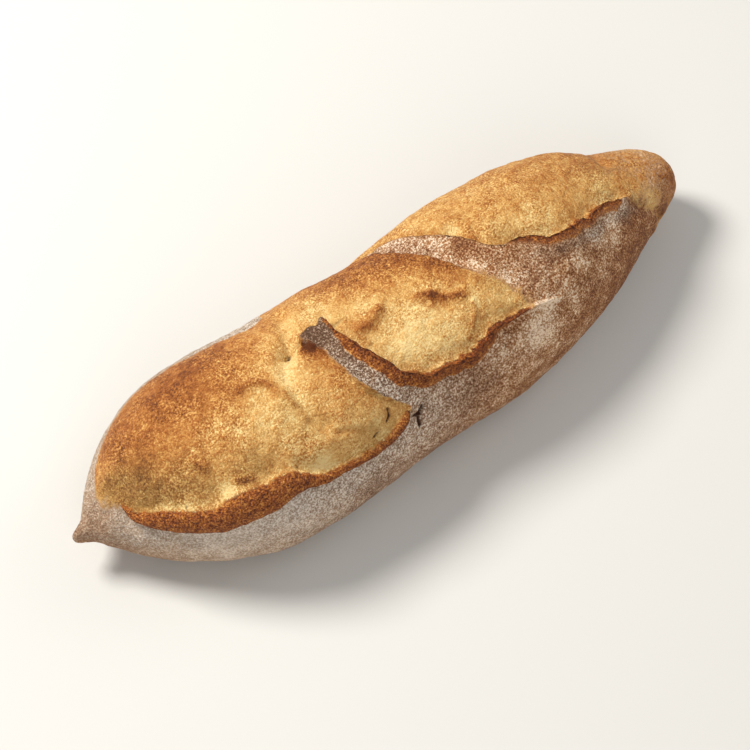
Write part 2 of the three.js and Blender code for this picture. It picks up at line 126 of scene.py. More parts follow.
# A lip's profile is (distance from its line, height); its spread scales the distances on one side, and
# where it is narrow it keeps at least the share `lowest` of its height. How far its line is torn from side
# to side, in mm, is given by the place along it from 0 to 1.
LIPS = {
    "rim_1": dict(
        line=RIM_1,
        profile=[
            (-30, 0), (-13, -0.3), (-6, -1.0), (-0.9, -1.6), (0, 1.0), (1.5, 2.6), (4.0, 3.4),
            (7.0, 3.0), (9.5, 1.2), (11.5, -0.9), (15, -1.5), (20, -1.2), (34, 0),
        ],
        spread=[
            (0, 0.12), (0.07, 0.3), (0.14, 0.7), (0.22, 0.95), (0.32, 1), (0.4, 1.3), (0.49, 1.2),
            (0.57, 0.85), (0.61, 0.45), (0.67, 0.27), (0.8, 0.28), (0.92, 0.33), (1, 0.2),
        ],
        spread_side=1, lowest=0.45, fades=(0.06, 0.05), overhang=-1.3, torn=[(0, 0.1), (0.5, 0.3), (1, 0.3)],
    ),
    "crest_2": dict(
        line=CREST_2,
        profile=[
            (-30, 0), (-16, -0.3), (-9, -0.9), (-4.8, -0.9), (-2.4, 1.3), (0, 3.0), (0.9, -0.9),
            (3.0, -1.3), (8, -0.8), (20, 0),
        ],
        spread=[(0, 0.3), (0.08, 0.45), (0.16, 0.9), (0.3, 1), (0.6, 1), (0.7, 0.7), (0.8, 0.3), (1, 0.2)],
        spread_side=-1, fades=(0.03, 0.26), overhang=0.6,
        torn=[(0, 0.3), (0.45, 0.5), (0.65, 0.6), (0.8, 0.2), (1, 0)],
    ),
    "far_edge_2": dict(
        line=FAR_EDGE_2,
        profile=[(-20, 0), (-9, 1.2), (-3, 1.4), (0, 0.9), (0.9, -0.7), (4, -0.5), (9, 0), (20, 0)],
        spread=[(0, 1), (1, 1)],
        spread_side=0, fades=(0.25, 0.5), overhang=0.5, torn=[(0, 0.1), (1, 0.2)],
    ),
    "crest_3": dict(
        line=CREST_3,
        profile=[
            (-30, 0), (-16, 0), (-8, 0.5), (-4, 1.7), (0, 3.0), (0.9, -0.9), (3.0, -1.5),
            (9, -0.9), (22, 0),
        ],
        spread=[(0, 1), (1, 1)],
        spread_side=0, fades=(0.25, 0.06), overhang=1.0,
        torn=[(0, 0), (0.45, 0.1), (0.6, 0.7), (1, 0.7)],
    ),
}
LEAST_SPREAD = 0.12
OVERHANG_REACH = 2.0  # how far back from its edge a lip leans out
EDGE_LEEWAY = 0.3  # and how far past the edge
TOOTH_HEIGHT, TOOTH_SIZE = 0.4, 3.0  # the uneven top of a torn lip
TOOTH_SET_BACK, TOOTH_HALF_WIDTH = 0.4, 1.3
STRAP_SHARE_OF_CREST_2 = 0.7  # of the crest's height, where the strap already lifts it
STRAP_RISE = [(0, 5.2), (0.2, 4.2), (0.6, 3.2), (0.85, 1.4), (1, 0)]
STRAP_EDGE = 0.9
STRAP_TEAR = [(0, 0.3), (1, 0.3)]
TORN_END_ALONG_STRAP = (0.05, 0.22)
BLOOM_RISE, BLOOM_12_SHOULDER, BLOOM_3_SHOULDER = 2.4, 24, 22
CLEAR_OF_RIM_1 = (2, 14)  # the bloom swells between these distances from the rim

# Swellings and furrows along a line: name, line, height, half width.
FOLDS = [
    ("ridge_left", [(-17, 89.5), (-13, 89.4), (-9.5, 91), (-5, 92.5)], 2.0, 2.2),
    ("ridge_right", [(10, 87.8), (15.5, 84.5), (19, 79.5), (25.5, 74.8)], 1.5, 1.9),
    ("ridge_stub", [(15.5, 84), (13, 80)], 0.8, 1.5),
    ("ridge_thin", [(28.5, 70), (26, 63), (22, 56.8)], 0.6, 1.0),
    ("wave", [(-71, 92.5), (-66, 93.8), (-61.5, 90), (-59.3, 83.6), (-57.5, 74), (-57, 66)], 1.4, 1.7),
    ("bump", [(-101.5, 73), (-98.5, 67.5)], 1.0, 1.5),
    ("bump_low", [(-91, 52.5), (-86, 51)], 0.9, 1.4),
    ("hollow", [(-43.5, 106), (-43.5, 101.5), (-46, 98.3), (-51.5, 98)], -1.1, 1.2),
    ("pale_crease", [(48.5, 46.4), (53.3, 44.6), (57.5, 42), (61, 39.3), (63.5, 37.4)], 0.5, 1.1),
    ("valley", [(-37, 124), (-43, 103), (-51, 92), (-53.5, 82), (-55, 70), (-52, 58)], -1.9, 3.4),
    ("fold", [(-49, 50.3), (-43.4, 46.8), (-39.5, 41)], -0.7, 1.3),
    ("crack_bloom", [(-25.8, 44.5), (-26.1, 41), (-28, 37.5)], -1.3, 0.8),
    ("crack_low", [(-33.4, 35), (-36, 34)], -1.0, 0.8),
    ("crack_skin", [(-10.9, 31.5), (-13.6, 28.5), (-14.4, 23.7), (-14.6, 18.6)], -1.8, 0.9),
    ("crack_side", [(-13.6, 28.5), (-16, 28.8)], -1.2, 0.9),
    ("arc", [(41, 117), (45, 117.5), (47.5, 112), (47, 104), (46, 96)], 0.9, 1.8),
    ("round_furrow", [(124, 134), (121.3, 112), (121.3, 101)], -1.2, 2.6),
]

# Dimples and swellings round a place: length, section angle, radius, height.
DIMPLES = [
    (-63, 85, 5.0, -1.3), (-46.5, 98.5, 3.0, -2.2), (-66, 41, 5.5, -1.0), (3, 73, 15.0, -1.8),
    (43, 106, 6.0, -2.0), (-6, 82, 6.0, -1.4), (18, 76, 5.0, -1.0), (-37, 68, 13.0, 1.8),
    (-100, 51, 4.0, -0.8),
]
CREASE_DEPTH, CREASE_HALF_WIDTH, CREASE_FADES = 1.6, 2.2, (0.05, 0.35)
CREASE_SHOULDER_HEIGHT, CREASE_SHOULDER_AWAY, CREASE_SHOULDER_HALF_WIDTH = 0.9, 4, 3
CREASE_SHOULDER_FADES = (0.1, 0.3)

# Roughness of the whole crust: height, and size of its features, in mm.
WAVES, WAVE_SIZE = 0.35, 14
WRINKLES, WRINKLE_SIZE = 0.24, 4.0
CRUMBS, CRUMBS_IN_BAND, CRUMB_SIZE = 0.05, 0.3, 1.9
TORN_END_CRUMBS, TORN_END_CRUMB_SIZE = 0.35, 2.2

MM = 0.001


# ---------- Small helpers ----------

def ramp(x, low, high):
    """Smooth step from 0 at low to 1 at high."""
    t = np.clip((x - low) / (high - low), 0, 1)
    return t * t * (3 - 2 * t)


def bell(distance, half_width):
    return np.exp(-((distance / half_width) ** 2))


def ease_out(share):
    return 1 - (1 - np.clip(share, 0, 1)) ** 2


def fade_at_ends(place, first, last):
    return ramp(place, 0, first) * ramp(1 - place, 0, last)


def smooth_table(rows):
    """A monotone cubic through rows of (x, value)."""
    xs, ys = np.array(rows, float).T
    step = np.diff(xs)
    slope = np.diff(ys) / step
    knots = np.concatenate([slope[:1], np.zeros(len(xs) - 2), slope[-1:]])
    a = 2 * step[1:] + step[:-1]
    b = step[1:] + 2 * step[:-1]
    rising = slope[1:] * slope[:-1] > 0
    harmonic = (a + b)[rising] / (a[rising] / slope[:-1][rising] + b[rising] / slope[1:][rising])
    knots[1:-1][rising] = harmonic

    def value(x):
        q = np.clip(x, xs[0], xs[-1])
        i = np.clip(np.searchsorted(xs, q, side="right") - 1, 0, len(xs) - 2)
        t = (q - xs[i]) / step[i]
        s = 1 - t
        start = ys[i] * (1 + 2 * t) * s * s + knots[i] * step[i] * t * s * s
        end = ys[i + 1] * (1 + 2 * s) * t * t - knots[i + 1] * step[i] * s * t * t
        return start + end

    return value


# ---------- The plain body's surface ----------

MIDDLE = (POINTED_END + ROUND_END) / 2
HALF_LENGTH = (ROUND_END - POINTED_END) / 2


def lengthwise(x):
    """0 at the pointed end, 1 at the round end."""
    return np.arccos(np.clip((MIDDLE - x) / HALF_LENGTH, -1, 1)) / np.pi


HALF_WIDTH_AT, CENTRE_AT, CROWN_AT, UNDERSIDE_AT = (
    smooth_table([(lengthwise(row[0]), row[column]) for row in BODY]) for column in range(1, 5)
)


def skin_point(x, angle):
    x, angle = np.broadcast_arrays(np.asarray(x, float), np.radians(np.asarray(angle, float)))
    u = lengthwise(x)
    crown, underside = CROWN_AT(u), UNDERSIDE_AT(u)
    waist = underside + WAIST_SHARE * (crown - underside)
    cos, sin = np.cos(angle), np.sin(angle)
    power = 2 / np.where(sin >= 0, CROWN_POWER, BASE_POWER)
    y = CENTRE_AT(u) - HALF_WIDTH_AT(u) * np.sign(cos) * np.abs(cos) ** power
    z = waist + np.where(sin >= 0, crown - waist, waist - underside) * np.sign(sin) * np.abs(sin) ** power
    return np.stack([x, y, z], -1)


def skin_normal(x, angle):
    x_step, angle_step, margin = 0.2, 0.3, 0.01
    along = skin_point(np.minimum(x + x_step, ROUND_END - margin), angle)
    along -= skin_point(np.maximum(x - x_step, POINTED_END + margin), angle)
    around = skin_point(x, angle + angle_step) - skin_point(x, angle - angle_step)
    normal = np.cross(along, around)
    return normal / np.linalg.norm(normal, axis=-1, keepdims=True)


class SkinLine:
    """A curve drawn on the plain body."""

    REACH = 45.0  # distances are exact up to here and rough beyond
    ROUGH_EVERY = 6  # the rough distances are from every sixth of its points
    SPLINE_STEPS = 24
    TEAR_LENGTH, TEAR_ANGLE, TEAR_WIDTH = 3.5, 5.5, 2.0  # size of a tear in mm, degrees and mm

    def __init__(self, places, closed=False, torn=((0, 0), (1, 0))):
        knots = np.array(places + places[:1] if closed else places, float)
        self.places = self.spline(knots)
        amount = smooth_table(torn)(np.linspace(0, 1, len(self.places)))
        self.places += amount[:, None] * self.tearing(self.places)
        self.points = skin_point(self.places[:, 0], self.places[:, 1])
        steps = np.linalg.norm(np.diff(self.points, axis=0), axis=1)
        self.lengths = np.concatenate([[0], np.cumsum(steps)])

    @staticmethod
    def spline(knots, degrees_to_mm=0.65, sample_step=1.0):
        p = knots * [1, degrees_to_mm]
        p = np.vstack([2 * p[0] - p[1], p, 2 * p[-1] - p[-2]])
        t = np.linspace(0, 1, SkinLine.SPLINE_STEPS, endpoint=False)[:, None]
        runs = []
        for before, a, b, after in zip(p, p[1:], p[2:], p[3:]):
            runs.append(0.5 * (
                2 * a + (b - before) * t + (2 * before - 5 * a + 4 * b - after) * t ** 2
                + (3 * a - before - 3 * b + after) * t ** 3
            ))
        fine = np.vstack(runs + [p[-2:-1]])
        length = np.concatenate([[0], np.cumsum(np.linalg.norm(np.diff(fine, axis=0), axis=1))])
        even = np.linspace(0, length[-1], max(3, int(length[-1] / sample_step) + 1))
        columns = [np.interp(even, length, fine[:, k]) for k in (0, 1)]
        return np.stack(columns, -1) / [1, degrees_to_mm]

    @staticmethod
    def tearing(places):
        """Small sideways steps along a torn line."""
        steps = []
        for x, angle in places:
            spot = Vector((x / SkinLine.TEAR_LENGTH, angle / SkinLine.TEAR_ANGLE, 4.0))
            steps.append([noise.noise(spot) + 0.5 * noise.noise(spot * 2.7), 1.5 * noise.noise(-spot)])
        return SkinLine.TEAR_WIDTH * np.array(steps)

    def nearest(self, points, normals):
        """Signed distance, place along the line from 0 to 1, and the direction away from it."""
        rough = np.full(len(points), np.inf)
        for sample in self.points[::self.ROUGH_EVERY]:
            rough = np.minimum(rough, ((points - sample) ** 2).sum(1))
        close = np.flatnonzero(rough < self.REACH ** 2)
        p = points[close]
        best = np.full(len(p), np.inf)
        length = np.zeros(len(p))
        foot = np.zeros_like(p)
        along = np.zeros_like(p)
        for i in range(len(self.points) - 1):
            start = self.points[i]
            run = self.points[i + 1] - start
            t = np.clip((p - start) @ run / (run @ run), 0, 1)
            spot = start + t[:, None] * run
            gap = ((p - spot) ** 2).sum(1)
            k = gap < best
            best[k] = gap[k]
            length[k] = self.lengths[i] + t[k] * (self.lengths[i + 1] - self.lengths[i])
            foot[k] = spot[k]
            along[k] = run
        offset = p - foot
        side = np.where((np.cross(along, offset) * normals[close]).sum(1) < 0, -1.0, 1.0)
        distance = np.full(len(points), np.sqrt(np.maximum(rough, 1e-9)))
        place = np.zeros(len(points))
        away = np.zeros_like(points)
        distance[close] = side * np.sqrt(best)
        place[close] = length / self.lengths[-1]
        away[close] = offset / np.maximum(np.sqrt(best), 1e-6)[:, None] * side[:, None]
        return distance, place, away

    def encloses(self, x, angle):
        inside = np.zeros(len(x), bool)
        for (x0, a0), (x1, a1) in zip(self.places, self.places[1:]):
            if a0 != a1:
                before = x < x0 + (x1 - x0) * (angle - a0) / (a1 - a0)
                inside ^= ((a0 > angle) != (a1 > angle)) & before
        return inside

    def depth_inside(self, sites):
        """Distance from a closed line, above 0 inside it."""
        gap = np.abs(self.nearest(sites.points, sites.normals)[0])
        return np.where(self.encloses(sites.x, sites.angle), gap, -gap)


# ---------- How far each place stands off the plain body ----------

class Sites:
    """Places on the plain body, with their points and normals."""

    def __init__(self, x, angle):
        self.x, self.angle = x, angle
        self.points = skin_point(x, angle)
        self.normals = skin_normal(x, angle)


def speckle(points, size, octaves):
    """Smooth noise of about -1 to 1, with features of that size in mm."""
    return np.array([noise.fractal(Vector(p), 0.9, 2.1, octaves) for p in points / size])


LIP_CURVES = {name: SkinLine(lip["line"], torn=lip["torn"]) for name, lip in LIPS.items()}
STRAP = SkinLine(STRAP_OUTLINE, closed=True, torn=STRAP_TEAR)
STRAP_EDGE_LINE = SkinLine(STRAP_LOWER_EDGE)
STRAP_FREE_EDGE = SkinLine(CREST_2[:1] + TORN_END + STRAP_LOWER_EDGE, torn=STRAP_TEAR)


def lip_relief(name, sites, on_strap, tooth):
    """Height of one lip and how far its edge leans out; also its distance, place and spread."""
    lip = LIPS[name]
    distance, place, away = LIP_CURVES[name].nearest(sites.points, sites.normals)
    spread = smooth_table(lip["spread"])(place)
    spreads = distance * lip["spread_side"] > 0
    scaled = np.where(spreads, distance / np.maximum(spread, LEAST_SPREAD), distance)
    fade = fade_at_ends(place, *lip["fades"])
    height = smooth_table(lip["profile"])(scaled) * fade
    lowest = lip.get("lowest", 1)
    height *= np.where(distance > -EDGE_LEEWAY, lowest + (1 - lowest) * spread, 1)
    if name == "crest_2":
        height *= np.where(distance < EDGE_LEEWAY, 1 - (1 - STRAP_SHARE_OF_CREST_2) * on_strap, 1)
    if name != "rim_1":
        on_top = bell(distance + TOOTH_SET_BACK, TOOTH_HALF_WIDTH) * (distance < EDGE_LEEWAY)
        height += tooth * on_top * fade
    on_edge = np.sign(lip["overhang"]) * distance < EDGE_LEEWAY
    lean = lip["overhang"] * bell(distance, OVERHANG_REACH) * fade * on_edge
    return height, away * lean[:, None], dict(distance=distance, place=place, spread=spread)


def bloom_relief(bloom_12, bloom_3, rim_distance):
    """The blooms swell from their edges inwards."""
    swell_12 = BLOOM_RISE * ease_out(bloom_12 / BLOOM_12_SHOULDER)
    swell_3 = BLOOM_RISE * ease_out(bloom_3 / BLOOM_3_SHOULDER)
    return swell_12 * ramp(np.abs(rim_distance), *CLEAR_OF_RIM_1) + swell_3


def crease_relief(sites):
    """The crease that pinches off the round end, and the shoulder beside it."""
    distance, place, _ = SkinLine(CREASE_3).nearest(sites.points, sites.normals)
    crease = CREASE_DEPTH * bell(distance, CREASE_HALF_WIDTH) * fade_at_ends(place, *CREASE_FADES)
    shoulder = CREASE_SHOULDER_HEIGHT * bell(distance + CREASE_SHOULDER_AWAY, CREASE_SHOULDER_HALF_WIDTH)
    return shoulder * fade_at_ends(place, *CREASE_SHOULDER_FADES) - crease


def roughness(points, torn_end, in_band):
    """Waves, wrinkles and crumbs that cover the whole crust."""
    waves = WAVES * speckle(points, WAVE_SIZE, 2) + WRINKLES * speckle(points, WRINKLE_SIZE, 3)
    crumbs = CRUMBS + (CRUMBS_IN_BAND - CRUMBS) * in_band
    torn_crumbs = TORN_END_CRUMBS * torn_end * speckle(points, TORN_END_CRUMB_SIZE, 3)
    return waves + crumbs * speckle(points + 50, CRUMB_SIZE, 2) + torn_crumbs


def crust(sites):
    """The crust's points, their heights off the plain body, and the fields that colour them."""
    points, normals = sites.points, sites.normals
    on_strap = ramp(STRAP.depth_inside(sites), -STRAP_EDGE, 0)
    strap_gap, strap_place, _ = STRAP_EDGE_LINE.nearest(points, normals)
    torn_end = on_strap * (1 - ramp(strap_place, *TORN_END_ALONG_STRAP))
    height = on_strap * smooth_table(STRAP_RISE)(strap_place)
    shift = np.zeros_like(points)

    tooth = TOOTH_HEIGHT * speckle(points, TOOTH_SIZE, 2)
    lips = {}
    for name in LIPS:
        rise, lean, lips[name] = lip_relief(name, sites, on_strap, tooth)
        height += rise
        shift += lean

    bloom_12 = SkinLine(BLOOM_1_AND_2, closed=True).depth_inside(sites)
    bloom_3 = SkinLine(BLOOM_3, closed=True).depth_inside(sites)
    height += bloom_relief(bloom_12, bloom_3, lips["rim_1"]["distance"]) + crease_relief(sites)
    folds = {}
    for name, line, rise, half_width in FOLDS:
        folds[name] = bell(SkinLine(line).nearest(points, normals)[0], half_width)
        height += rise * folds[name]
    for x, angle, radius, rise in DIMPLES:
        height += rise * bell(np.linalg.norm(points - skin_point(x, angle), axis=1), radius)
    height += roughness(points, torn_end, band_fields(lips)[0])

    crust_points = points + shift + normals * height[:, None]
    crust_points[:, 2] = np.maximum(crust_points[:, 2], 0)
    fields = dict(
        lips=lips, folds=folds, torn_end=torn_end, on_strap=on_strap, strap_place=strap_place,
        strap_gap=strap_gap, bloom=bloom_share(sites, bloom_12, bloom_3),
    )
    return crust_points, height, fields


# ---------- The grid ----------

def ring_angles():
    fine = round(POINTS_AROUND * DETAIL_SHARE)
    shown = np.linspace(DETAIL_FROM, DETAIL_TO, fine, endpoint=False)
    rest = np.linspace(DETAIL_TO, DETAIL_FROM + 360, POINTS_AROUND - fine, endpoint=False)
    return np.concatenate([shown, rest])


def ring_lengths():
    share = np.arange(1, RINGS) / RINGS
    u = share + END_EASING * np.sin(2 * np.pi * share)
    return MIDDLE - HALF_LENGTH * np.cos(np.pi * u)


GRID_CELL = DETAIL_ARC / (POINTS_AROUND * DETAIL_SHARE)
FOOT_GAP = 0.5 * GRID_CELL  # between a torn edge and the foot of its wall
DRAWN_CELLS, EASED_CELLS = 1.5, 3.5  # how far off the points are drawn in, and how far off they make room


def ends_beside(distance, around):
    """Marks, on every grid edge that crosses a line, the end that lies nearer to the line."""
    here = distance.reshape(-1, around)
    close = np.abs(here) < 2 * GRID_CELL
    marked = np.zeros(here.shape, bool)
    for axis in (0, 1):
        there = np.roll(here, -1, axis)
        crossing = close & np.roll(close, -1, axis) & (here * there <= 0)
        nearer = np.abs(here) <= np.abs(there)
        marked |= crossing & nearer
        marked |= np.roll(crossing & ~nearer, 1, axis)
    return marked.ravel()


def draw_to_edges(sites, around):
    """Moves the points near a torn edge onto it, and the next ones close beside it."""
    closest = np.full(len(sites.x), np.inf)
    distance = np.zeros(len(sites.x))
    away = np.zeros_like(sites.points)
    on_line = np.zeros(len(sites.x), bool)
    for line in list(LIP_CURVES.values()) + [STRAP_FREE_EDGE]:
        found, place, direction = line.nearest(sites.points, sites.normals)
        beside = (place > 0.004) & (place < 0.996)  # and not past one of its ends
        nearer = (np.abs(found) < closest) & beside
        closest[nearer] = np.abs(found[nearer])
        distance[nearer] = found[nearer]
        away[nearer] = direction[nearer]
        on_line[nearer] = ends_beside(found, around)[nearer]
    cells = closest / GRID_CELL
    share = (cells - DRAWN_CELLS) / (EASED_CELLS - DRAWN_CELLS)
    beyond = FOOT_GAP + share * (EASED_CELLS * GRID_CELL - FOOT_GAP)
    rules = [on_line, cells < DRAWN_CELLS, cells < EASED_CELLS]
    drawn = np.select(rules, [0, FOOT_GAP, beyond], np.abs(distance))
    sites.points += away * (drawn * np.sign(distance) - distance)[:, None]


def grid_faces(height, rings, around):
    """Triangles of the grid, each cell split along the diagonal that follows a crest."""
    index = np.arange(rings * around).reshape(rings, around)
    a, b = index[:-1].ravel(), index[1:].ravel()
    d, c = np.roll(index, -1, 1)[:-1].ravel(), np.roll(index, -1, 1)[1:].ravel()
    along_ac = np.abs(height[a] - height[c]) < np.abs(height[b] - height[d])
    first = np.where(along_ac[:, None], np.stack([a, b, c], 1), np.stack([a, b, d], 1))
    second = np.where(along_ac[:, None], np.stack([a, c, d], 1), np.stack([b, c, d], 1))
    return np.concatenate([first, second])


def tip_faces(rings, around):
    pointed, rounded = rings * around, rings * around + 1
    j = np.arange(around)
    k = (j + 1) % around
    last = (rings - 1) * around
    near_tip = np.stack([np.full(around, pointed), j, k], 1)
    far_tip = np.stack([np.full(around, rounded), last + k, last + j], 1)
    return np.concatenate([near_tip, far_tip])


# ---------- Where the crust is toasted, floured and dark ----------

# Rows of patches run from the pointed end to the round end. Each is length, section angle, radius and
# amount; the amount says how much browner (or paler, below 0) the bloom is there.
TOAST_PATCHES = [
    (-120, 118, 16, 0.24), (-119, 80, 10, 0.16), (-118, 53, 4, -0.3), (-112, 66, 16, 0.06),
    (-112, 45, 3.5, -0.4), (-100, 69, 3, 0.3), (-97, 50, 4, -0.35), (-96, 118, 26, 0.26),
    (-87, 60, 8, 0.12), (-74, 78, 13, -0.16), (-70, 122, 24, 0.26), (-65, 92, 6, -0.12),
    # The pale patches at length -62 and -59, angle 39, are painted light: they brighten the rim's steep inner
    # slope, which faces away from the key light.
    (-62, 39, 5, -0.24), (-60, 74, 9, -0.08), (-59, 39, 5, -0.16), (-55, 80, 6, -0.12),
    (-50, 92, 8, -0.2), (-46, 106, 7, -0.14), (-37, 75, 9, 0.12), (-36, 40, 9, -0.12),
    (-25, 112, 8, -0.24), (-18, 152, 22, 0.22), (-11, 88, 6, 0.06), (-10, 100, 7, -0.16),
    (-10, 72, 8, -0.15), (-8, 120, 10, 0.18), (3, 72, 15, -0.27), (10, 62, 10, -0.08),
    (12, 118, 14, 0.28), (17, 79, 7, 0.08), (28, 96, 9, 0.16), (28.6, 70, 1.2, -0.6),
    (29, 66, 1.0, -0.4), (39, 124, 8, -0.04), (40, 63, 8, -0.08), (44, 108, 4.5, -0.3),
    (66, 85, 9, -0.14), (75, 79, 8, -0.08), (80, 150, 26, 0.12), (102, 100, 20, 0.06),
    (108, 79, 8, -0.16), (118, 135, 16, 0.16), (131, 42, 9, -0.2), (136, 75, 12, 0.16),
    (146, 40, 11, 0.3),
]
# How olive and dark the bloom is: painted shade on the lower slopes of the blooms and in their hollows.
OLIVE_SHADE_PATCHES = [
    (-131, 84, 10, 0.8), (-122, 70, 15, 1.0), (-104, 58, 12, 0.5), (-84, 57, 9, 0.8),
    # The patch below 0 at length -62 is painted light too: it takes the olive off that slope.
    (-62, 41, 8, -0.5), (-60, 62, 10, 0.4), (-60, 74, 8, 0.4), (-42, 100, 4, 0.5), (-34, 41, 9, 0.55),
    (-20, 60, 8, 0.3), (40, 68, 10, 0.5), (58, 88, 7, 0.6), (72, 78, 6, 0.4), (110, 78, 8, 0.4),
]
# How floury the skin is along the loaf, and where there is more of it, or barer crust below 0.
FLOUR_ALONG = [
    (-150, 0.6), (-120, 0.72), (-60, 0.76), (-10, 0.62), (20, 0.58), (45, 0.51), (80, 0.42), (110, 0.3),
    (153, 0.32),
]
FLOUR_PATCHES = [
    # The patch at length -107, angle 5, and the strong ones at lengths 45 to 58, angles 27 to 41, are flour
    # and painted light at once: they lift flank that lies in shade.
    (-140, 70, 10, -0.15), (-107, 5, 16, 0.16), (-90, 148, 30, -0.15), (-85, 8, 24, 0.12),
    (-40, 0, 11, -0.22), (-37, 97, 6, -0.2), (-24, 97, 4, -0.15), (-21, 52, 6, 0.18), (-14, 6, 10, 0.1),
    (8, 140, 9, 0.2), (12, 16, 8, -0.24), (18, 30, 6, -0.1), (24, 36, 7, 0.16), (28, 111, 2.5, 0.16),
    (32, 104, 2.5, 0.22), (34.5, 94, 2.5, 0.1), (36, 99, 9, -0.08), (38, 87, 2.5, 0.2),
    (38, 66, 6, 0.1), (40, 96, 4, -0.22), (41, 80.5, 2.5, 0.15), (45, 27, 8, 0.25), (47, 70, 4, 0.32),
    (48, 32, 7, 0.26), (51, 63, 4, 0.08), (52, 76, 6, -0.05), (56, 41, 5, 0.3), (56, 80, 5, -0.08),
    (57, 19, 7, 0.05), (57, 74, 6, -0.06), (58, 71, 4, 0.08), (58, 34, 5, 0.2), (60, 66, 6, 0.06),
    (64, 30, 4, -0.25), (68, 32, 9, 0.1), (70, 36, 5, 0.2), (76, 44, 6, -0.1), (79, 50, 5, 0.35),
    (87, 30, 5, 0.12), (92, 53, 5, 0.3), (95, 57, 6, 0.12), (100, 42, 5, 0.35), (104, 57, 5, 0.5),
    (112, 61, 5, 0.35), (118, 30, 10, -0.1), (131, 42, 9, 0.3), (132, 100, 14, 0.2),
    (140, 180, 20, 0.15), (140, 140, 16, 0.25), (142, 68, 12, 0.3),
]
# How warm the skin's tone is along the loaf, from 0 grey to 1 pinkish brown, and in patches.
WARMTH_ALONG = [
    (-150, 0.3), (-130, 0.1), (-60, 0.05), (-20, 0.25), (10, 0.5), (40, 0.9), (115, 1), (125, 1.3),
    (153, 1.3),
]
WARMTH_PATCHES = [(92, 60, 8, -0.3), (112, 60, 6, -0.4), (-10, 145, 20, 0.5), (60, 64, 10, -0.2)]
LOW_FLANK_SINE = (-0.25, 0.45)  # of the section angle, where the foot of the flank ends
LOW_FLANK_DARKER, LOW_FLANK_WARMTH = 0.1, 0.35  # the skin gets darker and browner towards the foot of the flank
# Where the edge between bloom and skin is soft: length, section angle, radius, how soft.
SOFT_PATCHES = [
    (-134, 96, 12, 0.7), (-130, 80, 7, 0.6), (-95, 148, 22, 0.5), (-20, 160, 10, 0.6),
    (35, 170, 16, 0.7), (40, 79, 12, 0.85), (49, 56, 9, 0.85), (52, 46, 5, 0.6), (90, 170, 16, 0.7),
    (122, 190, 16, 0.8), (136, 0, 14, 0.8), (138, 240, 16, 0.9), (142, -25, 14, 0.9),
]
SOFTEST = 0.9
FAR_RAGGEDNESS, FAR_RAG_SIZE = 3.5, 9  # how far the blooms' far edges wander and over what length, in mm
FAR_SIDE_ANGLES, FAR_SIDE_LENGTHS = (125, 145), (-70, -40)  # where they begin to
# The round end is toasted and floury at once, patch by patch, with an edge that is sharp along the
# crease and soft on the far side.
ROUND_BULB_BLOOM = 0.2
ROUND_BULB_EDGE, ROUND_BULB_EDGE_ANGLES = (0.25, 0.06), (70, 110)
BLOOM_3_DEEPEST, BLOOM_3_LOSS_IN_BULB, BULB_BORDER = 0.6, 0.4, 10
# How coarse the skin's grain shows along the loaf.
COARSE_ALONG = [(-150, 0.4), (-110, 0.3), (-70, 0.7), (-40, 1), (20, 1), (153, 1)]
# Pores, painted as dark spots of shade: length, section angle, radius, how dark.
PORES = [
    (-111.6, 49, 1.1, 0.9), (-95, 50.5, 0.9, 0.5), (-75.5, 45.5, 0.9, 0.8), (-69.6, 45, 0.9, 0.8),
    (-62.5, 41.5, 0.7, 0.6), (-61, 44, 0.7, 0.7), (-46.5, 98.5, 1.6, 0.7), (20, 111, 0.7, 0.6),
]


def patches(points, table):
    total = np.zeros(len(points))
    for x, angle, radius, amount in table:
        total += amount * bell(np.linalg.norm(points - skin_point(x, angle), axis=1), radius)
    return total


# How much browner each fold makes the bloom, and how much painted shade darkens each crack and the hollow.
FOLD_TOAST = dict(
    ridge_left=0.4, ridge_right=0.42, ridge_stub=0.3, ridge_thin=0.15, wave=0.32, bump_low=0.5,
    arc=0.15, valley=-0.12, fold=0.1,
)
FOLD_SHADE = dict(crack_skin=1.4, crack_side=1.2, crack_bloom=1.1, crack_low=0.9, hollow=0.25)
PLAIN_TOAST = 0.36
# The bloom is browned under the strap's free end, partly toast and partly painted shadow of the end, in mm
# from it and up to a place along it.
UNDER_STRAP_TOAST_AND_SHADOW, UNDER_STRAP_WIDTH, UNDER_STRAP_PLACES = 0.95, 4.5, (0.05, 0.3)
FAR_EDGE_2_TOAST = 0.2
PALE_LINE, PALE_LINE_AWAY, PALE_LINE_HALF_WIDTH = 0.1, 1.2, 1.5  # in the bloom above the rim's band
STRAP_BARE, TORN_END_BARE = 0.46, 0.1
SHADE_LINE, SHADE_LINE_AWAY, SHADE_LINE_HALF_WIDTH = 0.1, 1.5, 2.0  # painted shade, in the skin below the band of crest 2
PALE_CREASE_FLOUR = 0.35
GREY_EAR_BELOW_CREST, GREY_EAR_HALF_WIDTH, GREY_EAR_PLACES = 5.5, 3, (0.5, 0.7)
# Its grey is partly the skin's own tone and partly painted shade below the band.
GREY_EAR_SHADE, GREY_EAR_COOLNESS = 0.08, 0.45
STRAP_COARSENESS = 0.3
# The dark lines along the edges of crests 2 and 3, their own char with painted shade, and the painted shadow
# under the strap's lower edge: how dark, half width in mm.
CREST_2_CHAR_AND_SHADE, CREST_3_CHAR_AND_SHADE, STRAP_EDGE_SHADOW = (0.5, 0.6), (0.4, 0.5), (0.4, 0.6)
BROWN_LINE, BROWN_LINE_FADES = (1, 0.45), (0.1, 0.55)  # along the far edge of bloom 2

